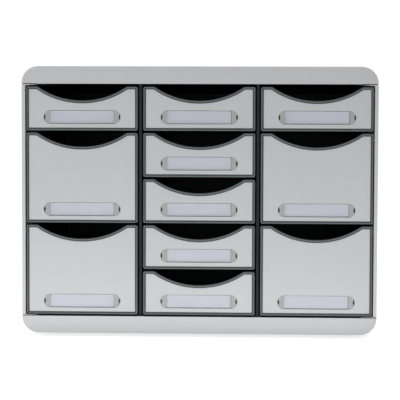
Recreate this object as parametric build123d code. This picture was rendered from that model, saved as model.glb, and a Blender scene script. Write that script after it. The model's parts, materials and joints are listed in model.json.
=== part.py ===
from build123d import *
from math import sqrt
import os

# A landscape set of mini drawers for a desk: eleven drawers in three columns slide in one
# casing. The casing is two like shells, one over and one under, two side panels, a back panel
# and two dividers. Every drawer is a moulded tray with a face plate, a label and its window.
# All sizes are in millimetres. X runs to the right, the drawers pull out towards -Y and Z is up.
# The origin lies on the ground, under the middle of the casing.

# Casing as a whole, without its feet
casing_width = 355.0
casing_depth = 270.0
casing_height = 267.0

# Top cover and base, which are the same moulding
cover_height = 17.3
cover_wall = 2.4
corner_radius = 16.8
cover_edge_chamfer = 1.0
cover_rib_thickness = 1.6
cross_rib_height = 9.0
cross_rib_spacing = 88.0
seam_gap = 0.35

# Feet
foot_height = 4.0
foot_length = 26.0
foot_width = 14.0
foot_corner_cut = 3.0
foot_inset_x = 32.0
foot_inset_y = 36.0

# Side panels, with the flanges that turn in along the covers
side_thickness = 3.4
flange_reach = 15.5
flange_tip = 0.4
top_flange_root = 1.3
bottom_flange_root = 0.75
tongue_height = 4.0
tongue_thickness = 1.6
side_edge_radius = 0.6

# Dividers and back panel
divider_thickness = 3.4
divider_nose_radius = 1.2
back_thickness = 2.5
back_lap = 3.0
back_tab_width = 300.0
fit = 0.15

# Runners on the side panels and dividers
runner_reach = 3.6
runner_thickness = 1.8
stop_length = 3.0
stop_drop = 2.2

# Drawers: how many rows of the casing each takes, from the top down
column_drawers = {"left": [1, 2, 2], "centre": [1, 1, 1, 1, 1], "right": [1, 2, 2]}
row_count = 5
top_gap = 2.65
bottom_gap = 1.35
row_gap = 2.1
side_gap = 0.95
travel = 190.0

# Drawer front: a rim round the face plate, with a scoop for a finger
front_setback = 1.0
rim_depth = 4.0
rim_width = 2.8
rim_corner_cut = 1.0
bead_width = 1.9
bead_chamfer = 0.6
groove_depth = 0.8
shoulder_width = 11.25
scoop_depth = 14.0
scoop_corner_radius = 3.5

# Face plate, label and window
plate_thickness = 1.8
plate_fit = 0.1
label_length = 77.0
label_height = 13.6
label_drop = 3.95
window_length = 73.5
window_thickness = 1.0
window_fit = 0.12
card_length = 64.6
card_height = 12.4
card_thickness = 0.35
card_shift = -0.5

# Tray behind the front
tray_wall = 1.8
tray_floor = 2.0
tray_lift = 1.5
tray_corner_cut = 4.0
tray_edge_chamfer = 2.5
tray_clearance = 0.8
tray_back_gap = 5.0
lip_drop = 3.0
lip_reach = 3.2
lip_thickness = 1.6
keeper_reach = 3.0
keeper_thickness = 1.4
run_clearance = 0.25
stop_clearance = 0.25

# Places that follow from the sizes
column_names = list(column_drawers)
column_count = len(column_names)
divider_count = column_count - 1
inner_width = casing_width - 2 * side_thickness
bay_width = (inner_width - divider_count * divider_thickness) / column_count
column_pitch = bay_width + divider_thickness
front_y = -casing_depth / 2
back_y = casing_depth / 2
base_top = foot_height + cover_height
cover_bottom = foot_height + casing_height - cover_height
cavity_height = cover_height - cover_wall
back_panel_y = back_y - cover_wall - fit - back_thickness
rib_back_y = back_panel_y - fit
divider_front_y = front_y + cover_wall + fit
row_pitch = (cover_bottom - base_top - top_gap - bottom_gap + row_gap) / row_count
rim_front_y = front_y + front_setback
rim_back_y = rim_front_y + rim_depth
plate_front_y = rim_front_y + groove_depth
plate_back_y = plate_front_y + plate_thickness
front_width = bay_width - 2 * side_gap
tray_width = bay_width - 2 * (runner_reach + tray_clearance)
tray_back_y = back_panel_y - tray_back_gap
runner_front_y = rim_back_y + stop_clearance
stop_back_y = runner_front_y + stop_length
keeper_front_y = stop_back_y + stop_clearance + travel
scoop_half_width = front_width / 2 - shoulder_width
scoop_radius = (scoop_half_width**2 + scoop_depth**2) / (2 * scoop_depth)


def block(x, y, z):
    """A box between two limits on each axis."""
    size = [high - low for low, high in (x, y, z)]
    middle = [(low + high) / 2 for low, high in (x, y, z)]
    return Pos(*middle) * Box(*size)


def facing(sketch, back, thickness):
    """A sketch seen from the front, given thickness from the plane y = back forwards."""
    plane = Plane(origin=(0, back, 0), x_dir=(1, 0, 0), z_dir=(0, -1, 0))
    return extrude(plane * sketch, thickness, dir=(0, -1, 0))


def sideways(sketch, left, length):
    """A sketch of Y and Z, given length from the plane x = left to the right."""
    plane = Plane(origin=(left, 0, 0), x_dir=(0, 1, 0), z_dir=(1, 0, 0))
    return extrude(plane * sketch, length, dir=(1, 0, 0))


def column_x(name):
    """The middle of a column of drawers."""
    return (column_names.index(name) - (column_count - 1) / 2) * column_pitch


def divider_x(index):
    """The middle of a divider, counted from the left."""
    return (index - (divider_count - 1) / 2) * column_pitch


def drawer_places(name):
    """For each drawer of a column, from the top: the bottom of its front, and its height."""
    places = []
    top = cover_bottom - top_gap
    for rows in column_drawers[name]:
        height = rows * row_pitch - row_gap
        places.append((top - height, height))
        top -= rows * row_pitch
    return places


# The casing


def cover_outline(inset):
    """The cover seen from the front, drawn in by inset: the upper corners are quarter rounds."""
    width = casing_width - 2 * inset
    height = cover_height - inset
    sketch = Pos(0, height / 2) * Rectangle(width, height)
    radius = min(corner_radius - inset, height)
    upper = sketch.vertices().group_by(Axis.Y)[-1]
    return fillet(upper, radius) if radius > 0 else sketch


def cover_ribs():
    """Ribs under the cover: a seat beside each flange, a channel for each divider, and ties."""
    top = cavity_height
    along = (front_y + cover_wall / 2, rib_back_y)
    seat_x = casing_width / 2 - flange_reach + flange_tip
    ribs = block((-seat_x - cover_rib_thickness, -seat_x), along, (-seam_gap, top))
    ribs += block((seat_x, seat_x + cover_rib_thickness), along, (-seam_gap, top))
    tie_z = (top - cross_rib_height, top)
    for tie_y in (-cross_rib_spacing, 0, cross_rib_spacing):
        tie = (tie_y - cover_rib_thickness / 2, tie_y + cover_rib_thickness / 2)
        ribs += block((-seat_x, seat_x), tie, tie_z)
    half_slot = divider_thickness / 2 + fit
    for index in range(divider_count):
        middle = divider_x(index)
        half_channel = half_slot + cover_rib_thickness
        ribs += block((middle - half_channel, middle + half_channel), along, (0, top))
    for index in range(divider_count):
        middle = divider_x(index)
        ribs -= block((middle - half_slot, middle + half_slot), (front_y, back_y), (-seam_gap, top))
    return ribs


def cover_moulding():
    """The shell that closes the casing, with its open side down at z = 0."""
    shell = facing(cover_outline(0), back_y, casing_depth)
    ends = shell.faces().filter_by(Axis.Y).edges()
    rim = [edge for edge in ends if edge.center().Z > 0]
    shell = chamfer(rim, cover_edge_chamfer)
    shell -= facing(cover_outline(cover_wall), back_y - cover_wall, casing_depth - 2 * cover_wall)
    return shell + cover_ribs()


def foot_places():
    """Where the middle of each foot stands."""
    x = casing_width / 2 - foot_inset_x
    y = casing_depth / 2 - foot_inset_y
    return [Pos(side * x, end * y) for side in (-1, 1) for end in (-1, 1)]


def base_moulding():
    """The same shell turned over."""
    return Pos(0, 0, base_top) * Rot(0, 180, 0) * cover_moulding()


def feet():
    """Four rubber pads with cut corners, stuck to the underside of the base."""
    foot = Pos(0, 0, foot_height / 2) * Box(foot_length, foot_width, foot_height)
    foot = chamfer(foot.edges().filter_by(Axis.Z), foot_corner_cut)
    return Compound(children=[place * foot for place in foot_places()])


def runner_outline(top):
    """A runner from its side: a level rail whose front end drops in a ramp to a stop."""
    bottom = top - runner_thickness
    return Polygon(
        (runner_front_y, top),
        (rib_back_y, top),
        (rib_back_y, bottom),
        (stop_back_y, bottom),
        (stop_back_y, bottom - stop_drop),
        (stop_back_y - stop_length / 2, bottom - stop_drop),
        (runner_front_y, bottom),
        align=None,
    )


def runner_top(place):
    """The height of the runner that carries a drawer."""
    bottom, height = place
    return bottom + height - lip_drop - lip_thickness - run_clearance


def runners(name, side):
    """The runners on the left (-1) or right (1) wall of a column."""
    wall = column_x(name) + side * bay_width / 2
    left = wall if side < 0 else wall - runner_reach
    rails = [runner_outline(runner_top(place)) for place in drawer_places(name)]
    return [sideways(rail, left, runner_reach) for rail in rails]


def side_panel_left():
    """The left wall: flanges turn in at both ends and tongues key them into the covers."""
    low = base_top + seam_gap
    high = cover_bottom - seam_gap
    outside = -casing_width / 2
    inside = outside + side_thickness
    tip = outside + flange_reach
    section = Polygon(
        (outside, low),
        (tip, low),
        (tip, low + flange_tip),
        (inside, low + bottom_flange_root),
        (inside, high - top_flange_root),
        (tip, high - flange_tip),
        (tip, high),
        (outside, high),
        align=None,
    )
    panel = facing(section, rib_back_y, rib_back_y - front_y)
    panel += block((outside, inside), (rib_back_y, back_y), (low, high))
    corners = panel.edges().filter_by(Axis.Z)
    outer = [edge for edge in corners if abs(edge.center().X - outside) < side_edge_radius]
    panel = fillet(outer, min(side_edge_radius, side_thickness / 3))
    seat_x = tip - flange_tip - cover_rib_thickness - fit
    along = (divider_front_y, rib_back_y)
    panel += block((seat_x - tongue_thickness, seat_x), along, (low - tongue_height, low))
    panel += block((seat_x - tongue_thickness, seat_x), along, (high, high + tongue_height))
    return panel + runners(column_names[0], -1)


def side_panel_right():
    """The right wall, which is the left one mirrored."""
    return mirror(side_panel_left(), about=Plane.YZ)


def divider(index):
    """A wall between two columns, standing in the channels of both covers."""
    low = base_top - cavity_height
    high = cover_bottom + cavity_height - fit
    middle = divider_x(index)
    half = divider_thickness / 2
    wall = block((middle - half, middle + half), (divider_front_y, rib_back_y), (low, high))
    nose = wall.faces().sort_by(Axis.Y)[0].edges().filter_by(Axis.Z)
    wall = fillet(nose, min(divider_nose_radius, 0.9 * half))
    wall += runners(column_names[index], 1)
    return wall + runners(column_names[index + 1], -1)


def back_panel():
    """The back wall: it laps inside the skirts of both covers, and a tab in each holds it."""
    half = inner_width / 2 - fit
    low = base_top - back_lap
    high = cover_bottom + back_lap
    along = (back_panel_y, back_panel_y + back_thickness)
    panel = block((-half, half), along, (low, high))
    half_tab = back_tab_width / 2
    low_tab = base_top - cavity_height
    high_tab = cover_bottom + cavity_height - fit
    return panel + block((-half_tab, half_tab), along, (low_tab, high_tab))


# The drawers. Each is drawn in the middle of its column, with the bottom of its front at z = 0.


def front_outline(height, inset):
    """The drawer front, drawn in by inset: a rectangle with the scoop out of its upper edge."""
    sketch = Pos(0, height / 2) * Rectangle(front_width - 2 * inset, height - 2 * inset)
    scoop_centre = height - scoop_depth + scoop_radius
    return sketch - Pos(0, scoop_centre) * Circle(scoop_radius + inset)


def label_outline(length, height):
    """A slot with round ends, cut square where the length stops short of them."""
    slot = SlotOverall(label_length, height)
    return slot & Rectangle(length, height)


def label_place(height):
    """The middle of the label on a drawer front."""
    return Pos(0, rim_width + label_drop + label_height / 2)


def tray_front(height):
    """The front wall of the tray: a raised bead round a seat for the face plate."""
    outline = front_outline(height, 0)
    brows, corners = outline.vertices().group_by(lambda point: round(abs(point.X), 3))
    outline = fillet(brows, scoop_corner_radius)
    corners = outline.vertices().sort_by(lambda point: abs(point.X))[-4:]
    outline = chamfer(corners, rim_corner_cut)
    front = facing(outline, rim_back_y, rim_depth)
    front = chamfer(front.faces().sort_by(Axis.Y)[0].edges(), bead_chamfer)
    front -= facing(front_outline(height, bead_width), plate_front_y, groove_depth)
    return front - facing(front_outline(height, rim_width - plate_fit), plate_back_y, plate_thickness)


def tray_mould(height, inset, floor):
    """A block drawn in by inset, down to a floor, with its rear corners cut across."""
    half = tray_width / 2 - inset
    back = tray_back_y - inset
    top = height - lip_drop
    solid = block((-half, half), (rim_back_y, back), (floor, top))
    rear = solid.faces().sort_by(Axis.Y)[-1].edges().filter_by(Axis.Z)
    return chamfer(rear, tray_corner_cut - inset * (2 - sqrt(2)))


def tray(height):
    """The moulded drawer: front, open box, lips that ride on the runners, and keepers."""
    body = tray_mould(height, 0, tray_lift)
    low = body.faces().sort_by(Axis.Z)[0].edges()
    body = chamfer([edge for edge in low if edge.center().Y > rim_back_y], tray_edge_chamfer)
    body -= tray_mould(height, tray_wall, tray_lift + tray_floor)
    body += tray_front(height)
    lip_top = height - lip_drop
    keeper_top = lip_top - lip_thickness - 2 * run_clearance - runner_thickness
    lip_back_y = tray_back_y - tray_corner_cut
    inner = tray_width / 2 - tray_wall / 2
    for side in (-1, 1):
        lip = sorted((side * inner, side * (tray_width / 2 + lip_reach)))
        body += block(lip, (rim_back_y, lip_back_y), (lip_top - lip_thickness, lip_top))
        keeper = sorted((side * inner, side * (tray_width / 2 + keeper_reach)))
        along = (keeper_front_y, lip_back_y)
        body += block(keeper, along, (keeper_top - keeper_thickness, keeper_top))
    return body


def face_plate(height):
    """The pale plate let into the rim, with a slot for the label."""
    sketch = front_outline(height, rim_width)
    sketch -= label_place(height) * SlotOverall(label_length, label_height)
    return facing(sketch, plate_back_y, plate_thickness)


def label_card(height):
    """The blank card behind the window, pushed a little to the left of its middle."""
    sketch = label_place(height) * Pos(card_shift, 0) * Rectangle(card_length, card_height)
    return facing(sketch, plate_back_y, card_thickness)


def label_window(height):
    """The clear window over the card, a little shorter than its slot."""
    sketch = label_outline(window_length, label_height - 2 * window_fit)
    return facing(label_place(height) * sketch, plate_back_y - card_thickness, window_thickness)


drawer_pieces = {
    "tray": tray,
    "face_plate": face_plate,
    "label_card": label_card,
    "label_window": label_window,
}


def drawer_nodes():
    """Every piece of every drawer, in its place."""
    nodes = {}
    made = {}
    for column in column_names:
        for number, (bottom, height) in enumerate(drawer_places(column), start=1):
            for piece, make in drawer_pieces.items():
                key = (piece, round(height, 6))
                if key not in made:
                    made[key] = make(height)
                place = Pos(column_x(column), 0, bottom)
                nodes[f"{piece}_{column}_{number}"] = place * made[key]
    return nodes


def casing_nodes():
    """The pieces of the casing."""
    nodes = {
        "top_cover": Pos(0, 0, cover_bottom) * cover_moulding(),
        "base": base_moulding(),
        "feet": feet(),
        "side_panel_left": side_panel_left(),
        "side_panel_right": side_panel_right(),
        "back_panel": back_panel(),
    }
    for index in range(divider_count):
        nodes[f"divider_{index + 1}"] = divider(index)
    return nodes


os.makedirs("parts", exist_ok=True)
for node, shape in {**casing_nodes(), **drawer_nodes()}.items():
    export_step(shape, f"parts/{node}.step")
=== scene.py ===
import json
from math import asin, cos, pi, radians, sin, sqrt

import bmesh
import bpy
from mathutils import Matrix, Vector

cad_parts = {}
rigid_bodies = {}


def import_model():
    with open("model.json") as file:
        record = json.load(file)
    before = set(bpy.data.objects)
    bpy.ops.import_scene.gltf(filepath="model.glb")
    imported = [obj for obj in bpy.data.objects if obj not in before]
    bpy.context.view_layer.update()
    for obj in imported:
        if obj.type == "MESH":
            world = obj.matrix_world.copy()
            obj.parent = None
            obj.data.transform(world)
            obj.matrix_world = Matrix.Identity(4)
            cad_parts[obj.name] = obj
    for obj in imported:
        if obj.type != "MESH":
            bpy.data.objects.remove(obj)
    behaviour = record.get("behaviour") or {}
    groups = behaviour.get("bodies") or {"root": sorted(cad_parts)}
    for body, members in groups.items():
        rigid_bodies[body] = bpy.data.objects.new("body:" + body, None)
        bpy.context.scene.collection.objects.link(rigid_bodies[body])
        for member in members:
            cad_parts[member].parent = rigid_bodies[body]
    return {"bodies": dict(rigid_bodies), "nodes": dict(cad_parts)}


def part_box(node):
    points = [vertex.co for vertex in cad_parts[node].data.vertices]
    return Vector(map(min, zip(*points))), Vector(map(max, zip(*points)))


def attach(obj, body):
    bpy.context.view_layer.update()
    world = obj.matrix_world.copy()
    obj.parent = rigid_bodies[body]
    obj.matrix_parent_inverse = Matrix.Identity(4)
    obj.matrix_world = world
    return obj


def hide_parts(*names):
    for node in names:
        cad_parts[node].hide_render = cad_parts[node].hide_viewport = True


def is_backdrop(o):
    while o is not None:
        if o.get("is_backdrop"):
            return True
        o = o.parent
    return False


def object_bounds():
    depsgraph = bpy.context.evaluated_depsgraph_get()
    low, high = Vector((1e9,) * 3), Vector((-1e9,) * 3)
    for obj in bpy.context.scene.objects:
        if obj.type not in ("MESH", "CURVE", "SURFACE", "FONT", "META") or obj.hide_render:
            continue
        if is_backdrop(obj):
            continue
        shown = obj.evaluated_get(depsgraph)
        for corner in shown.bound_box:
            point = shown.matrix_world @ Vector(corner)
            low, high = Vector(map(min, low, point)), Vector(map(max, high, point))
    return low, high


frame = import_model()
cad_low, cad_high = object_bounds()

# Base: the lower of two like shells, moulded in light grey polystyrene with a fine matt grain and
# with ends that curl in quarter rounds. It stands open side up. The walls plug into the ribs
# inside it. Narrow strips of dark plastic sit in its seams to the side panels: painted shade that
# stands for the seams' shadow line.

mm = 0.001
TOUCH = 0.02 * mm
SHARP_ANGLE = radians(40)
COVER_HEIGHT = 17.3 * mm
COVER_WALL = 2.4 * mm
END_RADIUS = 16.8 * mm
END_SEGMENTS = 20
COVER_EDGE_RADIUS = 1.0 * mm
COVER_EDGE_SEGMENTS = 4
RIB_THICKNESS = 1.6 * mm
TIE_HEIGHT = 9.0 * mm
TIE_SPACING = 88.0 * mm
FLANGE_REACH = 15.1 * mm
DIVIDER_THICKNESS = 3.4 * mm
CHANNEL_CLEARANCE = 0.15 * mm
BACK_PANEL_FRONT = 129.8 * mm
SEAM_RELIEF = 0.3 * mm
SIDE_TRIM = 0.35 * mm
STRIP_SETBACK = 0.9 * mm
STRIP_INSIDE = 2.3 * mm
CASING_GREY = (0.547, 0.567, 0.59)
CASING_ANTHRACITE = (0.010, 0.015, 0.019)
CLOUD_SIZE = 60 * mm
CLOUD_SHARE = 0.7
SPECK_SIZE = 1.4 * mm
TINT_SPREAD = 0.045
ROUGHNESS_SPREAD = 0.05
GRAIN_STRENGTH = 0.35


class Shade:
    """A socket of a material's nodes. Sums and products of it add Math nodes."""

    def __init__(self, tree, socket=None):
        self.tree = tree
        self.socket = socket

    def node(self, kind, settings=None, sockets=None, output=0):
        """Adds a node, gives it its settings and then its sockets' values or links."""
        made = self.tree.nodes.new("ShaderNode" + kind)
        for name, value in (settings or {}).items():
            setattr(made, name, value)
        for name, value in (sockets or {}).items():
            if isinstance(value, Shade):
                self.tree.links.new(value.socket, made.inputs[name])
            else:
                made.inputs[name].default_value = value
        return Shade(self.tree, made.outputs[output] if made.outputs else None)

    def maths(self, operation, first, second):
        """The result of a Math node on two numbers or sockets."""
        return self.node("Math", {"operation": operation}, {0: first, 1: second})

    def __add__(self, other):
        return self.maths("ADD", self, other)

    def __radd__(self, other):
        return self.maths("ADD", other, self)

    def __mul__(self, other):
        return self.maths("MULTIPLY", self, other)

    def __rmul__(self, other):
        return self.maths("MULTIPLY", other, self)

    def noise(self, place, size, detail=2.0):
        """Soft noise from 0 to 1, whose blots are about size across."""
        sockets = {"Vector": place, "Scale": 1 / size, "Detail": detail}
        return self.node("TexNoise", None, sockets)

    def blend(self, share, colour, spread):
        """A colour, from darker to lighter by spread as share goes from 0 to 1."""
        dark = [channel * (1 - spread) for channel in colour]
        light = [channel * (1 + spread) for channel in colour]
        # A Mix node's colours are its sockets 6 and 7, and its colour result is output 2.
        sockets = {"Factor": share, 6: (*dark, 1), 7: (*light, 1)}
        return self.node("Mix", {"data_type": "RGBA"}, sockets, output=2)

    def relief(self, height, strength, distance):
        """The normal of a surface with a fine relief."""
        sockets = {"Strength": strength, "Distance": distance, "Height": height}
        return self.node("Bump", None, sockets)


def new_material(name):
    """An empty material, its Shade, and a place in the object's own coordinates."""
    material = bpy.data.materials.new(name)
    material.use_nodes = True
    material.node_tree.nodes.clear()
    shade = Shade(material.node_tree)
    return material, shade, shade.node("TexCoord", output="Object")


def finish_material(shade, sockets):
    """Closes a material with its Principled shader."""
    surface = shade.node("BsdfPrincipled", None, sockets)
    shade.node("OutputMaterial", None, {"Surface": surface})


def moulded_plastic(name, colour, roughness, grain_size, grain_depth, gloss=0.5):
    """Moulded plastic: spark-eroded grain, faint flow clouds and fine dull and bright spots."""
    material, shade, place = new_material(name)
    clouds = shade.noise(place, CLOUD_SIZE, 3.0)
    specks = shade.noise(place, SPECK_SIZE)
    grain = shade.noise(place, grain_size, 3.0)
    share = clouds * CLOUD_SHARE + specks * (1 - CLOUD_SHARE)
    dullness = clouds * ROUGHNESS_SPREAD + specks * ROUGHNESS_SPREAD
    finish_material(shade, {
        "Base Color": shade.blend(share, colour, TINT_SPREAD),
        "Roughness": roughness - ROUGHNESS_SPREAD + dullness,
        "Specular IOR Level": gloss,
        "Normal": shade.relief(grain, GRAIN_STRENGTH, grain_depth),
    })
    return material


def rounded(bm, parts, radius, segments, affect="EDGES"):
    """Rounds edges or, with affect as VERTICES, the corners of a flat outline."""
    bmesh.ops.bevel(
        bm, geom=parts, offset=radius, offset_type="OFFSET", segments=segments,
        profile=0.5, affect=affect, clamp_overlap=True, material=-1,
    )


def add_box(bm, low, high):
    """A closed box between two corners."""
    size = [top - bottom for bottom, top in zip(low, high)]
    middle = [(top + bottom) / 2 for bottom, top in zip(low, high)]
    place = Matrix.Translation(middle) @ Matrix.Diagonal((*size, 1))
    bmesh.ops.create_cube(bm, size=1, matrix=place)


def edges_at(bm, test):
    """The edges of which both ends pass a test of their place."""
    return [edge for edge in bm.edges if all(test(vert.co) for vert in edge.verts)]


def near(value, target):
    """Whether two lengths agree."""
    return abs(value - target) < TOUCH


def draw_out(bm, face, way):
    """Moves one face of a closed shape and gives it side walls."""
    moved = bmesh.ops.extrude_discrete_faces(bm, faces=[face])["faces"][0]
    bmesh.ops.translate(bm, verts=moved.verts[:], vec=way)


def add_piece(name, parts, body, materials, slot, *nodes):
    """Joins parts to one object, which rides on a body and stands for CAD nodes."""
    mesh = bpy.data.meshes.new(name)
    whole = bmesh.new()
    for part in parts:
        part.to_mesh(mesh)
        part.free()
        whole.from_mesh(mesh)
    whole.to_mesh(mesh)
    whole.free()
    mesh.shade_smooth()
    mesh.set_sharp_from_angle(angle=SHARP_ANGLE)
    made = bpy.data.objects.new(name, mesh)
    bpy.context.scene.collection.objects.link(made)
    for material in materials:
        mesh.materials.append(material)
    made.modifiers.new("even_flats", "WEIGHTED_NORMAL").keep_sharp = True
    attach(made, body)
    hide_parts(*nodes)
    return made


def cover_shell(width, depth, height):
    """The shell of a cover, its open side down at z = 0."""
    shell = bmesh.new()
    add_box(shell, (-width / 2, -depth / 2, 0), (width / 2, depth / 2, height))
    top = edges_at(shell, lambda place: near(place.z, height))
    ends = [edge for edge in top if near(abs(edge.verts[0].co.x - edge.verts[1].co.x), 0)]
    rounded(shell, ends, END_RADIUS, END_SEGMENTS)
    shell.faces.ensure_lookup_table()
    mouth = min(shell.faces, key=lambda face: face.calc_center_median().z)
    bmesh.ops.inset_region(shell, faces=[mouth], thickness=COVER_WALL, use_even_offset=True)
    draw_out(shell, mouth, (0, 0, height - COVER_WALL))
    inside = width / 2 - COVER_WALL
    hollow = edges_at(
        shell,
        lambda place: near(place.z, height - COVER_WALL) and near(abs(place.x), inside),
    )
    rounded(shell, hollow, END_RADIUS - COVER_WALL, END_SEGMENTS)
    rim = edges_at(shell, lambda place: near(abs(place.y), depth / 2))
    rim = [edge for edge in rim if any(vert.co.z > TOUCH for vert in edge.verts)]
    rounded(shell, rim, COVER_EDGE_RADIUS, COVER_EDGE_SEGMENTS)
    return shell


def cover_ribs(width, depth, height, seam, dividers):
    """The ribs inside a cover: seats beside the flanges, channels for the dividers, and ties."""
    ribs = bmesh.new()
    ceiling = height - COVER_WALL / 2
    front = COVER_WALL / 2 - depth / 2
    seat = width / 2 - FLANGE_REACH
    for side in (-1, 1):
        low, high = sorted((side * seat, side * (seat + RIB_THICKNESS)))
        add_box(ribs, (low, front, -seam), (high, BACK_PANEL_FRONT, ceiling))
    for divider in dividers:
        low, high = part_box(divider)
        middle = (low.x + high.x) / 2
        half = DIVIDER_THICKNESS / 2 + CHANNEL_CLEARANCE
        gap = middle - half, middle + half
        for side in ((gap[0] - RIB_THICKNESS, gap[0]), (gap[1], gap[1] + RIB_THICKNESS)):
            add_box(ribs, (side[0], front, 0), (side[1], BACK_PANEL_FRONT, ceiling))
    for tie in (-TIE_SPACING, 0, TIE_SPACING):
        add_box(
            ribs,
            (-seat, tie - RIB_THICKNESS / 2, height - COVER_WALL - TIE_HEIGHT),
            (seat, tie + RIB_THICKNESS / 2, ceiling),
        )
    return ribs


def seam_shade_strips(width, depth, seam):
    """Painted shade: dark strips a little way in, from inside the shell to just short of the side
    panels.
    """
    shade_strips = bmesh.new()
    bottom, top = TOUCH - SIDE_TRIM - seam, 2 * SEAM_RELIEF
    front, inner_y = STRIP_SETBACK - depth / 2, STRIP_INSIDE - depth / 2
    for side in (-1, 1):
        outer = side * (width / 2 - STRIP_SETBACK)
        low, high = sorted((outer, side * (width / 2 - STRIP_INSIDE)))
        add_box(shade_strips, (low, front, bottom), (high, -front, top))
        low, high = sorted((outer, side * (width / 2 - FLANGE_REACH)))
        add_box(shade_strips, (low, front, bottom), (high, inner_y, top))
    # The strips take the dark plastic as painted shade for the seams' shadow line.
    for face in shade_strips.faces:
        face.material_index = 1
    return shade_strips


def cover_lip(width, depth):
    """The stretch of a cover's front edge between the side panels, which reaches further down."""
    lip = bmesh.new()
    half = width / 2 - FLANGE_REACH
    front = -depth / 2
    add_box(lip, (-half, front, 0), (half, front + COVER_WALL, SEAM_RELIEF))
    return lip


def cover_piece(name, node, dividers, turned_over=False):
    """A whole cover in its place, with its open side down or, turned over, up."""
    low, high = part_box(node)
    width, depth = high.x - low.x, high.y - low.y
    seam = high.z - low.z - COVER_HEIGHT
    shell = cover_shell(width, depth, COVER_HEIGHT - SEAM_RELIEF)
    shell.transform(Matrix.Translation((0, 0, SEAM_RELIEF)))
    parts = [
        shell,
        cover_ribs(width, depth, COVER_HEIGHT, seam, dividers),
        seam_shade_strips(width, depth, seam),
    ]
    if turned_over:
        place = Matrix.Translation((0, 0, low.z + COVER_HEIGHT)) @ Matrix.Rotation(pi, 4, "Y")
    else:
        parts.append(cover_lip(width, depth))
        place = Matrix.Translation((0, 0, high.z - COVER_HEIGHT))
    for part in parts:
        part.transform(place)
    add_piece(name, parts, "casing", [casing_plastic, dark_plastic], "casing_grey", node)


casing_plastic = moulded_plastic(
    "casing_grey_plastic", CASING_GREY,
    roughness=0.42, grain_size=0.35 * mm, grain_depth=0.02 * mm,
)
# The dividers' and back panel's own anthracite; on the covers' seam strips it is painted shade.
dark_plastic = moulded_plastic(
    "casing_anthracite_plastic", CASING_ANTHRACITE,
    roughness=0.46, grain_size=0.35 * mm, grain_depth=0.02 * mm, gloss=0.2,
)
cover_piece("base_shell", "base", ["divider_1", "divider_2"], turned_over=True)

# Feet: four pads of black rubber, stuck under the base. Each has rounded corners, a soft lower
# edge and a shallow hollow in its sole, so that it grips a desk by its border.

FOOT_LENGTH = 26.0 * mm
FOOT_WIDTH = 14.0 * mm
FOOT_CORNER = 4.0 * mm
FOOT_CORNER_SEGMENTS = 6
SOLE_EDGE = 0.7 * mm
SOLE_EDGE_SEGMENTS = 3
SOLE_BORDER = 2.2 * mm
SOLE_HOLLOW = 0.6 * mm
RUBBER_BLACK = (0.018, 0.018, 0.019)


def foot_pad(middle_x, middle_y, height):
    """One pad, standing on z = 0."""
    pad = bmesh.new()
    half_x, half_y = FOOT_LENGTH / 2, FOOT_WIDTH / 2
    add_box(
        pad,
        (middle_x - half_x, middle_y - half_y, 0),
        (middle_x + half_x, middle_y + half_y, height),
    )
    upright = [
        edge for edge in pad.edges
        if near(abs(edge.verts[0].co.z - edge.verts[1].co.z), height)
    ]
    rounded(pad, upright, FOOT_CORNER, FOOT_CORNER_SEGMENTS)
    rounded(pad, edges_at(pad, lambda place: near(place.z, 0)), SOLE_EDGE, SOLE_EDGE_SEGMENTS)
    sole = min(pad.faces, key=lambda face: face.calc_center_median().z)
    bmesh.ops.inset_region(pad, faces=[sole], thickness=SOLE_BORDER, use_even_offset=True)
    bmesh.ops.inset_region(pad, faces=[sole], thickness=SOLE_HOLLOW, depth=-SOLE_HOLLOW)
    return pad


feet_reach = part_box("feet")[1]
foot_x = feet_reach.x - FOOT_LENGTH / 2
foot_y = feet_reach.y - FOOT_WIDTH / 2
rubber = moulded_plastic(
    "feet_black_rubber", RUBBER_BLACK,
    roughness=0.8, grain_size=0.5 * mm, grain_depth=0.03 * mm,
)
pads = [foot_pad(x, y, feet_reach.z) for x in (-foot_x, foot_x) for y in (-foot_y, foot_y)]
add_piece("rubber_feet", pads, "casing", [rubber], "feet_rubber", "feet")

# Side panels: two thin walls in the covers' grey plastic. Flanges turn in along the seams, and
# tongues key them to the covers. Both ends stop a little short, which widens the seams' dark line.

TONGUE_HEIGHT = 4.0 * mm
MERGE_DISTANCE = 0.001 * mm


def side_wall(node):
    """A copy of a side panel whose end faces, from which the tongues rise, are drawn in."""
    wall = bmesh.new()
    wall.from_mesh(frame["nodes"][node].data)
    bmesh.ops.remove_doubles(wall, verts=wall.verts[:], dist=MERGE_DISTANCE)
    low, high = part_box(node)
    for vert in wall.verts:
        if near(vert.co.z, high.z - TONGUE_HEIGHT):
            vert.co.z -= SIDE_TRIM
        elif near(vert.co.z, low.z + TONGUE_HEIGHT):
            vert.co.z += SIDE_TRIM
    return wall


for side in ("left", "right"):
    node = "side_panel_" + side
    wall = add_piece(
        "side_wall_" + side, [side_wall(node)], "casing", [casing_plastic], "casing_grey", node
    )
    # Smooth shading would bend the light across the long thin triangles of this mesh.
    wall.modifiers.clear()
    wall.data.shade_flat()

# Dividers and back panel: plain anthracite walls that plug into both covers. The dividers carry
# the drawers' runners on both of their sides.


def dress(name, material):
    """Gives a CAD node that keeps its shape a finished material."""
    node = frame["nodes"][name]
    if not node.material_slots:
        node.data.materials.append(material)
    for slot in node.material_slots:
        slot.material = material


for node in ("divider_1", "divider_2", "back_panel"):
    dress(node, dark_plastic)

# Top cover: the same moulding as the base, put on the other way up once the walls stand. Between
# the side panels its front edge reaches down a little further than the base's reaches up.

cover_piece("top_cover_shell", "top_cover", ["divider_1", "divider_2"])

# Trays: eleven drawers moulded in dark grey polystyrene, each in one piece. The front has a bead
# round a seat for the face plate, its glossier crest painted lighter as a painted highlight, and a
# scoop for a finger on top. The open box behind it hangs by two lips on the runners, with keepers
# near the back.

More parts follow.
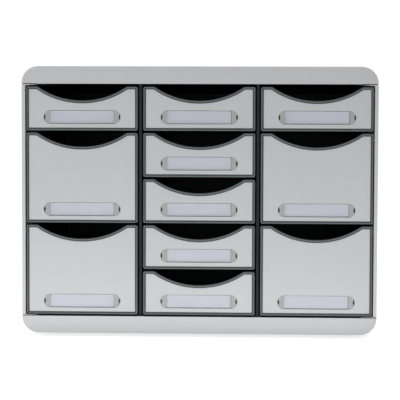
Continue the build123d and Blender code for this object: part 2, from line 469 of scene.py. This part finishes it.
RIM_DEPTH = 4.0 * mm
RIM_CORNER = 2.0 * mm
RIM_CORNER_SEGMENTS = 4
SHOULDER = 11.25 * mm
SCOOP_DEPTH = 14.0 * mm
SCOOP_STEPS = 32
BROW_RADIUS = 3.5 * mm
BROW_SEGMENTS = 4
BEAD_WIDTH = 1.9 * mm
BEAD_HEIGHT = 0.8 * mm
BEAD_STEPS = 6
BEAD_MITRE_STEP = 4
BEAD_HIGHLIGHT_STEPS = (2, 3)
MITRE_REACH = 0.45 * mm
SEAT_INSET = 2.7 * mm
PLATE_THICKNESS = 1.8 * mm
FRONT_OVERLAP = 0.5 * mm
TRAY_WALL = 1.8 * mm
TRAY_FLOOR = 2.0 * mm
TRAY_LIFT = 1.5 * mm
TRAY_RUN_ON = 12 * mm
TRAY_HALF_WIDTH = 52.5 * mm
TRAY_REAR_RADIUS = 6.0 * mm
TRAY_REAR_SEGMENTS = 8
TRAY_UNDER_RADIUS = 3.5 * mm
TRAY_UNDER_SEGMENTS = 5
TRAY_INNER_RADIUS = 2.0 * mm
TRAY_INNER_SEGMENTS = 4
TRAY_EDGE_RADIUS = 0.4 * mm
TRAY_EDGE_SEGMENTS = 3
TRAY_EDGE_ANGLE = radians(60)
LIP_DROP = 3.0 * mm
LIP_REACH = 3.2 * mm
LIP_THICKNESS = 1.6 * mm
LIP_BACK = 4.0 * mm
KEEPER_REACH = 3.0 * mm
KEEPER_THICKNESS = 1.4 * mm
KEEPER_DROP = 2.3 * mm
KEEPER_FRONT = 63.5 * mm
RAIL_EDGE = 0.3 * mm
RAIL_EDGE_SEGMENTS = 2
TRAY_GREY = (0.034, 0.046, 0.050)
# The bead crest's lighter grey is a painted highlight.
BEAD_HIGHLIGHT_GREY = (0.090, 0.109, 0.112)
DRAWERS = [
    body.removeprefix("drawer_") for body in frame["bodies"] if body.startswith("drawer_")
]


def lone_face(bm):
    """The one face of a flat outline, turned to the front."""
    bm.faces.ensure_lookup_table()
    face = bm.faces[0]
    face.normal_update()
    if face.normal.y > 0:
        face.normal_flip()
    return face


def scoop_radius(width):
    """The radius of the finger scoop in a front of some width."""
    reach = width / 2 - SHOULDER
    return (reach**2 + SCOOP_DEPTH**2) / (2 * SCOOP_DEPTH)


def front_outline(width, height, inset, y):
    """A drawer's front as a flat face, drawn in by inset, and the two brows of its scoop."""
    radius = scoop_radius(width)
    middle = Vector((0, y, height - SCOOP_DEPTH + radius))
    radius += inset
    side, top = width / 2 - inset, height - inset
    brow_x = sqrt(radius**2 - (middle.z - top) ** 2)
    outline = bmesh.new()
    places = ((-side, y, top), (-side, y, inset), (side, y, inset), (side, y, top))
    corners = [outline.verts.new(place) for place in places]
    brow = outline.verts.new((brow_x, y, top))
    scoop = bmesh.ops.spin(
        outline, geom=[brow], cent=middle, axis=(0, 1, 0),
        angle=2 * asin(brow_x / radius), steps=SCOOP_STEPS,
    )
    chain = [scoop["geom_last"][0], *corners, brow]
    for first, second in zip(chain, chain[1:]):
        outline.edges.new((first, second))
    bmesh.ops.edgeloop_fill(outline, edges=outline.edges[:])
    lone_face(outline)
    return outline, [chain[0], brow]


def brow_offset(width, radius):
    """How far from its corner an arc of some radius leaves the scoop's brow."""
    half_turn = asin((width / 2 - SHOULDER) / scoop_radius(width)) / 2
    return radius * sin(half_turn) / cos(half_turn)


def pull_forward(bm, faces, depth):
    """Gives a flat outline depth towards the front, and returns its new front faces."""
    made = bmesh.ops.extrude_face_region(bm, geom=faces)["geom"]
    moved = [part for part in made if isinstance(part, bmesh.types.BMVert)]
    bmesh.ops.translate(bm, verts=moved, vec=(0, -depth, 0))
    front = [part for part in made if isinstance(part, bmesh.types.BMFace)]
    bmesh.ops.recalc_face_normals(bm, faces=bm.faces[:])
    return front


def square_corners(bm, face, side, levels):
    """Draws each small round corner of a front face together to one point."""
    y = face.verts[0].co.y
    for corner in [Vector((x, y, z)) for x in (-side, side) for z in levels]:
        close = [vert for vert in face.verts if (vert.co - corner).length < MITRE_REACH]
        bmesh.ops.pointmerge(bm, verts=close, merge_co=corner)
        bm.normal_update()
        face = max(bm.faces, key=lambda part: -part.normal.y * part.calc_area())
    return face


def tray_front(width, height, front_y):
    """The front wall of a tray, with its bead, groove and seat."""
    front, brows = front_outline(width, height, 0, front_y + RIM_DEPTH)
    rounded(front, brows, brow_offset(width, BROW_RADIUS), BROW_SEGMENTS, "VERTICES")
    corners = [vert for vert in front.verts if near(abs(vert.co.x), width / 2)]
    rounded(front, corners, RIM_CORNER, RIM_CORNER_SEGMENTS, "VERTICES")
    face = pull_forward(front, [lone_face(front)], RIM_DEPTH - BEAD_HEIGHT)[0]
    inset = rise = 0
    for step in range(1, BEAD_STEPS + 1):
        angle = pi * step / BEAD_STEPS
        next_inset = BEAD_WIDTH / 2 * (1 - cos(angle))
        next_rise = BEAD_HEIGHT * sin(angle)
        bmesh.ops.inset_region(
            front, faces=[face], thickness=next_inset - inset, depth=next_rise - rise,
            use_even_offset=True,
        )
        inset, rise = next_inset, next_rise
        if step == BEAD_MITRE_STEP:
            face = square_corners(front, face, width / 2 - inset, (inset, height - inset))
        # The crest's steps take the lighter bead material: a painted highlight along the bead.
        face.material_index = int(step in BEAD_HIGHLIGHT_STEPS)
    bmesh.ops.inset_region(
        front, faces=[face], thickness=SEAT_INSET - BEAD_WIDTH, use_even_offset=True
    )
    draw_out(front, face, (0, PLATE_THICKNESS, 0))
    return front


def cut_across(bm, place, way, clear=False):
    """Cuts a shape with an upright plane, and may clear away what lies beyond it."""
    bmesh.ops.bisect_plane(
        bm, geom=bm.verts[:] + bm.edges[:] + bm.faces[:], dist=MERGE_DISTANCE,
        plane_co=place, plane_no=way, clear_outer=clear,
    )


def tray_box(front_y, back_y, top):
    """The open box behind the front: walls, floor and rounded corners, cut off at the front."""
    box = bmesh.new()
    cut = front_y + RIM_DEPTH - FRONT_OVERLAP
    add_box(
        box,
        (-TRAY_HALF_WIDTH, cut - TRAY_RUN_ON, TRAY_LIFT),
        (TRAY_HALF_WIDTH, back_y, top),
    )
    rear = [
        edge for edge in edges_at(box, lambda place: near(place.y, back_y))
        if near(edge.verts[0].co.x, edge.verts[1].co.x)
    ]
    rounded(box, rear, TRAY_REAR_RADIUS, TRAY_REAR_SEGMENTS)
    under = edges_at(box, lambda place: near(place.z, TRAY_LIFT))
    rounded(box, under, TRAY_UNDER_RADIUS, TRAY_UNDER_SEGMENTS)
    mouth = max(box.faces, key=lambda face: face.calc_center_median().z)
    bmesh.ops.inset_region(box, faces=[mouth], thickness=TRAY_WALL, use_even_offset=True)
    draw_out(box, mouth, (0, 0, TRAY_LIFT + TRAY_FLOOR - top))
    inner = edges_at(box, lambda place: near(place.z, TRAY_LIFT + TRAY_FLOOR))
    rounded(box, inner, TRAY_INNER_RADIUS, TRAY_INNER_SEGMENTS)
    level = edges_at(box, lambda place: near(place.z, top))
    rims = [edge for edge in level if edge.calc_face_angle(0) > TRAY_EDGE_ANGLE]
    rounded(box, rims, TRAY_EDGE_RADIUS, TRAY_EDGE_SEGMENTS)
    cut_across(box, (0, cut, 0), (0, -1, 0), clear=True)
    bmesh.ops.holes_fill(box, edges=[edge for edge in box.edges if edge.is_boundary])
    bmesh.ops.recalc_face_normals(box, faces=box.faces[:])
    return box


def tray_rails(front_y, back_y, top):
    """The lips that ride on the runners, and the keepers that pass under them."""
    rails = bmesh.new()
    inner = TRAY_HALF_WIDTH - TRAY_WALL / 2
    lip_top = top - TOUCH
    keeper_top = top - LIP_THICKNESS - KEEPER_DROP
    for side in (-1, 1):
        low, high = sorted((side * inner, side * (TRAY_HALF_WIDTH + LIP_REACH)))
        add_box(
            rails,
            (low, front_y + RIM_DEPTH - FRONT_OVERLAP, lip_top - LIP_THICKNESS),
            (high, back_y - LIP_BACK, lip_top),
        )
        low, high = sorted((side * inner, side * (TRAY_HALF_WIDTH + KEEPER_REACH)))
        add_box(
            rails,
            (low, KEEPER_FRONT, keeper_top - KEEPER_THICKNESS),
            (high, back_y - LIP_BACK, keeper_top),
        )
    rounded(rails, rails.edges[:], RAIL_EDGE, RAIL_EDGE_SEGMENTS)
    return rails


tray_plastic = moulded_plastic(
    "tray_dark_grey_plastic", TRAY_GREY,
    roughness=0.4, grain_size=0.3 * mm, grain_depth=0.015 * mm,
)
# A painted highlight for the bead's crest: lighter than the tray's grey, and glossier.
bead_highlight_plastic = moulded_plastic(
    "tray_bead_painted_highlight_plastic", BEAD_HIGHLIGHT_GREY,
    roughness=0.3, grain_size=0.3 * mm, grain_depth=0.005 * mm,
)
for tag in DRAWERS:
    low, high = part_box("tray_" + tag)
    height = high.z - low.z
    parts = [
        tray_front(high.x - low.x, height, low.y),
        tray_box(low.y, high.y, height - LIP_DROP),
        tray_rails(low.y, high.y, height - LIP_DROP),
    ]
    for part in parts:
        part.transform(Matrix.Translation(((low.x + high.x) / 2, 0, low.z)))
    add_piece(
        "drawer_tray_" + tag, parts, "drawer_" + tag, [tray_plastic, bead_highlight_plastic],
        "tray_anthracite", "tray_" + tag,
    )

# Face plates: thin plates of light silver-grey plastic with soft edges, pressed into the seats of
# the trays' fronts. A slot with round ends near the lower edge holds the label's window.

PLATE_INSET = 2.8 * mm
PLATE_EDGE = 0.3 * mm
EDGE_STEPS = 3
PLATE_BROW = 1.5 * mm
PLATE_BROW_SEGMENTS = 4
SLOT_LENGTH = 77.0 * mm
SLOT_HEIGHT = 13.6 * mm
SLOT_DROP = 3.95 * mm
SLOT_SEGMENTS = 48
PLATE_SILVER = (0.538, 0.556, 0.573)


def slot_outline(length, height, y):
    """A flat face with round ends, about the origin: a circle whose halves are drawn apart."""
    slot = bmesh.new()
    upright = Matrix.Translation((0, y, 0)) @ Matrix.Rotation(pi / 2, 4, "X")
    bmesh.ops.create_circle(
        slot, cap_ends=True, segments=SLOT_SEGMENTS, radius=height / 2, matrix=upright
    )
    for side in (-1, 1):
        half = [vert for vert in slot.verts if side * vert.co.x > TOUCH]
        bmesh.ops.translate(slot, verts=half, vec=(side * (length - height) / 2, 0, 0))
    lone_face(slot)
    return slot


def soft_edge(bm, faces, radius):
    """Raises front faces by radius, in steps that round their edges."""
    inset = rise = 0
    for step in range(1, EDGE_STEPS + 1):
        angle = pi / 2 * step / EDGE_STEPS
        next_inset, next_rise = radius * (1 - cos(angle)), radius * sin(angle)
        bmesh.ops.inset_region(
            bm, faces=faces, thickness=next_inset - inset, depth=next_rise - rise,
            use_even_offset=True,
        )
        inset, rise = next_inset, next_rise


def plate_front(width, height, back_y):
    """One face plate: outline, slot, thickness and soft front edge."""
    plate, brows = front_outline(width, height, PLATE_INSET, back_y)
    rounded(plate, brows, brow_offset(width, PLATE_BROW), PLATE_BROW_SEGMENTS, "VERTICES")
    slot = slot_outline(SLOT_LENGTH, SLOT_HEIGHT, back_y)
    slot.transform(Matrix.Translation((0, 0, PLATE_INSET + SLOT_DROP + SLOT_HEIGHT / 2)))
    hole = bpy.data.meshes.new("slot")
    slot.to_mesh(hole)
    slot.free()
    plate.from_mesh(hole)
    bpy.data.meshes.remove(hole)
    bmesh.ops.delete(plate, geom=plate.faces[:], context="FACES_ONLY")
    bmesh.ops.triangle_fill(plate, edges=plate.edges[:], use_beauty=True, normal=(0, -1, 0))
    front = pull_forward(plate, plate.faces[:], PLATE_THICKNESS - PLATE_EDGE)
    soft_edge(plate, front, PLATE_EDGE)
    return plate


plate_plastic = moulded_plastic(
    "plate_silver_plastic", PLATE_SILVER,
    roughness=0.36, grain_size=0.25 * mm, grain_depth=0.01 * mm,
)
for tag in DRAWERS:
    low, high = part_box("tray_" + tag)
    back_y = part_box("face_plate_" + tag)[1].y
    plate = plate_front(high.x - low.x, high.z - low.z, back_y)
    plate.transform(Matrix.Translation(((low.x + high.x) / 2, 0, low.z)))
    add_piece(
        "front_plate_" + tag, [plate], "drawer_" + tag, [plate_plastic],
        "plate_silver", "face_plate_" + tag,
    )

# Label cards: blank slips of bluish white card, cut from a sheet. They lie loose between the
# trays and the windows that cover them.

CARD_WHITE = (0.60, 0.62, 0.70)
CARD_SPREAD = 0.03
FIBRE_SIZE = 0.8 * mm
MOTTLE_SIZE = 9 * mm


def card_paper():
    """Smooth uncoated card: fine fibres and a faint mottle."""
    material, shade, place = new_material("label_card_paper")
    lengthways = shade.node("Mapping", None, {"Vector": place, "Scale": (1, 1, 4)})
    fibres = shade.noise(lengthways, FIBRE_SIZE, 4.0)
    mottle = shade.noise(place, MOTTLE_SIZE)
    finish_material(shade, {
        "Base Color": shade.blend(fibres * 0.5 + mottle * 0.5, CARD_WHITE, CARD_SPREAD),
        "Roughness": 0.72 + fibres * 0.1,
        "Normal": shade.relief(fibres, 0.3, 0.01 * mm),
    })
    return material


paper = card_paper()
for tag in DRAWERS:
    dress("label_card_" + tag, paper)

# Label windows: clear polystyrene panes that snap into the slots, with a shallow notch in each
# round end for a fingernail. Upright flutes beside the notches look frosted.

WINDOW_LENGTH = 75.6 * mm
NOTCH_DEPTH = 1.25 * mm
NOTCH_STEPS = 6
WINDOW_HEIGHT = 13.36 * mm
WINDOW_EDGE = 0.12 * mm
WINDOW_LIFT = 0.05 * mm
CLEAR_HALF = 32.3 * mm
FLUTE_PITCH = 0.9 * mm
FLUTE_DEPTH = 0.22 * mm
CLEAR_TINT = (0.72, 0.75, 0.80)
FROST_TINT = (0.43, 0.44, 0.45)
WINDOW_SPREAD = 0.04
STREAK_SIZE = 0.7 * mm


def window_plastic(name, tint, opacity, roughness):
    """Clear polystyrene, with hairline moulding streaks that catch a little more light."""
    material, shade, place = new_material(name)
    upright = shade.node("Mapping", None, {"Vector": place, "Scale": (1, 1, 0.1)})
    streaks = shade.noise(upright, STREAK_SIZE, 3.0)
    finish_material(shade, {
        "Base Color": shade.blend(streaks, tint, WINDOW_SPREAD),
        "Roughness": roughness + streaks * 0.05,
        "Alpha": opacity - WINDOW_SPREAD / 2 + streaks * WINDOW_SPREAD,
        "Normal": shade.relief(streaks, 0.2, 0.005 * mm),
    })
    return material


def window_pane(back_y, front_y):
    """One window, about the origin, with its notches and flutes."""
    pane = slot_outline(SLOT_LENGTH, WINDOW_HEIGHT, back_y)
    for side in (-1, 1):
        end_x = side * WINDOW_LENGTH / 2
        cut_across(pane, (end_x, 0, 0), (side, 0, 0), clear=True)
        end = edges_at(pane, lambda place: near(place.x, end_x))
        bmesh.ops.subdivide_edges(pane, edges=end, cuts=NOTCH_STEPS - 1)
        notch = [vert for vert in pane.verts if near(vert.co.x, end_x)]
        reach = max(vert.co.z for vert in notch)
        for vert in notch:
            vert.co.x -= side * NOTCH_DEPTH * (1 - (vert.co.z / reach) ** 2)
    front = pull_forward(pane, [lone_face(pane)], back_y - front_y - WINDOW_EDGE)
    soft_edge(pane, front, WINDOW_EDGE)
    flutes = int((WINDOW_LENGTH / 2 - NOTCH_DEPTH - CLEAR_HALF) / FLUTE_PITCH)
    for side in (-1, 1):
        for half_pitch in range(2 * flutes + 1):
            x = side * (CLEAR_HALF + half_pitch * FLUTE_PITCH / 2)
            cut_across(pane, (x, 0, 0), (1, 0, 0))
            if half_pitch % 2:
                ridge = [
                    vert for vert in pane.verts
                    if near(vert.co.x, x) and near(vert.co.y, front_y)
                ]
                bmesh.ops.translate(pane, verts=ridge, vec=(0, -FLUTE_DEPTH, 0))
    for face in pane.faces:
        face.material_index = int(abs(face.calc_center_median().x) > CLEAR_HALF)
    return pane


clear_plastic = window_plastic("window_clear_plastic", CLEAR_TINT, opacity=0.14, roughness=0.12)
frosted_plastic = window_plastic("window_frosted_plastic", FROST_TINT, opacity=0.88, roughness=0.4)
for tag in DRAWERS:
    low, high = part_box("label_window_" + tag)
    pane = window_pane(high.y - WINDOW_LIFT, low.y)
    pane.transform(Matrix.Translation(((low.x + high.x) / 2, 0, (low.z + high.z) / 2)))
    add_piece(
        "window_pane_" + tag, [pane], "drawer_" + tag, [clear_plastic, frosted_plastic],
        "window_clear", "label_window_" + tag,
    )

# Studio: the set stands on a wide white floor before a white background, between soft lamps. Two
# of them lie on the floor before it and stand for light that the floor throws back. The camera
# looks at it almost square on, from a little right of its middle and a little below its top.

FLOOR_REACH = 12.0
FLOOR_WHITE = 0.8
FLOOR_GLOW = 0.75
ROOM_LIGHT = 0.35
FRONT_Y = cad_low.y
CAMERA_DISTANCE = 1.5
CAMERA_X = 60.9 * mm
CAMERA_Z = 221.8 * mm
CAMERA_YAW = radians(2.285)
CAMERA_PITCH = radians(-3.183)
CAMERA_ROLL = radians(0.187)
FOCAL_PIXELS = 1508.17
PICTURE_WIDTH = 400
SENSOR_WIDTH = 36.0
PLAIN = (1.0, 1.0, 1.0)
WARM = (1.0, 0.975, 0.94)
FRONT_MIDDLE = (0, FRONT_Y, cad_high.z / 2)
# Each lamp's place, the point it faces, its width, height and power in watts, and its colour
LAMPS = {
    "left_lamp": ((-1.0, -1.1, 0.55), FRONT_MIDDLE, 0.5, 0.5, 3.0, PLAIN),
    "right_lamp": ((1.6, -1.6, 0.8), FRONT_MIDDLE, 1.2, 1.2, 2.0, PLAIN),
    "top_lamp": ((0, 0.1, 1.7), (0, 0, 0), 1.6, 1.6, 7.0, PLAIN),
    "wide_bounce": (
        (-0.25, FRONT_Y - 0.27, 0.002), (-0.25, FRONT_Y - 0.27, 1), 1.4, 0.5, 2.2, WARM
    ),
    "near_bounce": (
        (-0.12, FRONT_Y - 0.04, 0.001), (-0.12, FRONT_Y - 0.04, 1), 0.6, 0.08, 0.085, WARM
    ),
}


def seen_rays(shade):
    """1 for rays by which the picture, a gloss or a clear piece shows something, else 0."""
    path = shade.node("LightPath").socket.node.outputs
    camera, glossy, clear = (
        Shade(shade.tree, path["Is %s Ray" % kind]) for kind in ("Camera", "Glossy", "Transmission")
    )
    return camera + glossy + clear


def studio_floor():
    """A white floor, lifted to pure white wherever a lamp reaches it, so that shadows stay."""
    plane = bmesh.new()
    bmesh.ops.create_grid(plane, x_segments=1, y_segments=1, size=FLOOR_REACH)
    mesh = bpy.data.meshes.new("studio_floor")
    plane.to_mesh(mesh)
    plane.free()
    floor = bpy.data.objects.new("studio_floor", mesh)
    bpy.context.scene.collection.objects.link(floor)
    material, shade, place = new_material("floor_white")
    paint = shade.node("BsdfDiffuse", None, {"Color": (FLOOR_WHITE,) * 3 + (1,)})
    glow = shade.node("Emission", None, {"Strength": seen_rays(shade) * FLOOR_GLOW})
    both = shade.node("AddShader", None, {0: paint, 1: glow})
    shade.node("OutputMaterial", None, {"Surface": both})
    mesh.materials.append(material)
    floor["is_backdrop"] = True


def room():
    """White behind everything that is seen, and an even soft light for the rest."""
    world = bpy.data.worlds.new("studio_room")
    bpy.context.scene.world = world
    world.use_nodes = True
    world.node_tree.nodes.clear()
    shade = Shade(world.node_tree)
    strength = ROOM_LIGHT + seen_rays(shade) * (1 - ROOM_LIGHT)
    back = shade.node("Background", None, {"Color": (1, 1, 1, 1), "Strength": strength})
    shade.node("OutputWorld", None, {"Surface": back})


def softbox(name, place, target, width, height, power, colour):
    """A soft lamp, turned to a point."""
    lamp = bpy.data.lights.new(name, "AREA")
    lamp.shape = "RECTANGLE"
    lamp.size, lamp.size_y = width, height
    lamp.energy = power
    lamp.color = colour
    holder = bpy.data.objects.new(name, lamp)
    bpy.context.scene.collection.objects.link(holder)
    turn = (Vector(target) - Vector(place)).to_track_quat("-Z", "Y")
    holder.matrix_world = Matrix.Translation(place) @ turn.to_matrix().to_4x4()
    holder.visible_camera = False


def studio_camera():
    """The camera, placed before the front by its distance, height and turns."""
    lens = bpy.data.cameras.new("camera")
    lens.sensor_width = SENSOR_WIDTH
    lens.lens = FOCAL_PIXELS / PICTURE_WIDTH * SENSOR_WIDTH
    camera = bpy.data.objects.new("camera", lens)
    bpy.context.scene.collection.objects.link(camera)
    bpy.context.scene.camera = camera
    turn = Matrix.Rotation(CAMERA_YAW, 4, "Z") @ Matrix.Rotation(pi / 2 + CAMERA_PITCH, 4, "X")
    place = Matrix.Translation((CAMERA_X, FRONT_Y - CAMERA_DISTANCE, CAMERA_Z))
    camera.matrix_world = place @ turn @ Matrix.Rotation(CAMERA_ROLL, 4, "Z")


studio_floor()
room()
for name, (place, target, width, height, power, colour) in LAMPS.items():
    softbox(name, place, target, width, height, power, colour)
studio_camera()
bpy.context.scene.view_settings.view_transform = "Standard"

low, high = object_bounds()
